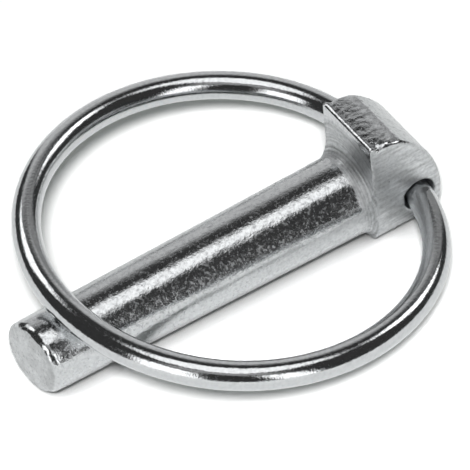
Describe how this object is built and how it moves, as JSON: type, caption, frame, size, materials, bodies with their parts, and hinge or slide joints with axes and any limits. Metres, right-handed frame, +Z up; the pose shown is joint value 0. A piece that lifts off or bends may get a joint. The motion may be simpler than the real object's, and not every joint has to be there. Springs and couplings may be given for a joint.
{
  "type": "lynch pin",
  "caption": "Tapered steel pin with a flat-sided, round-backed head and a wire ring that turns in the head's cross hole and closes over the shank.",
  "frame": {"origin": "on the shank's axis, in the plane of the shoulder that stops the pin", "axes": "-X along the shank towards its tip and +X towards the head; Y along the cross hole that the ring turns in; +Z up through the head's flat top, with the pin lying on the head's underside and its shank, and the ring closed over the shank"},
  "size_m": [0.053, 0.0502, 0.0153],
  "materials": {
    "plated_forging": "bright zinc plate over a forged and cropped surface",
    "plated_wire": "bright zinc plate over smooth drawn wire"
  },
  "bodies": {
    "pin": {"pin": "plated_forging"},
    "ring": {"ring": "plated_wire"}
  },
  "joints": [
    {"name": "ring_swing", "type": "hinge", "parent": "pin", "child": "ring", "pos_m": [0.00597, 0, -0.0003], "axis": [0, 1, 0], "range_deg": [0, 343.5]}
  ]
}
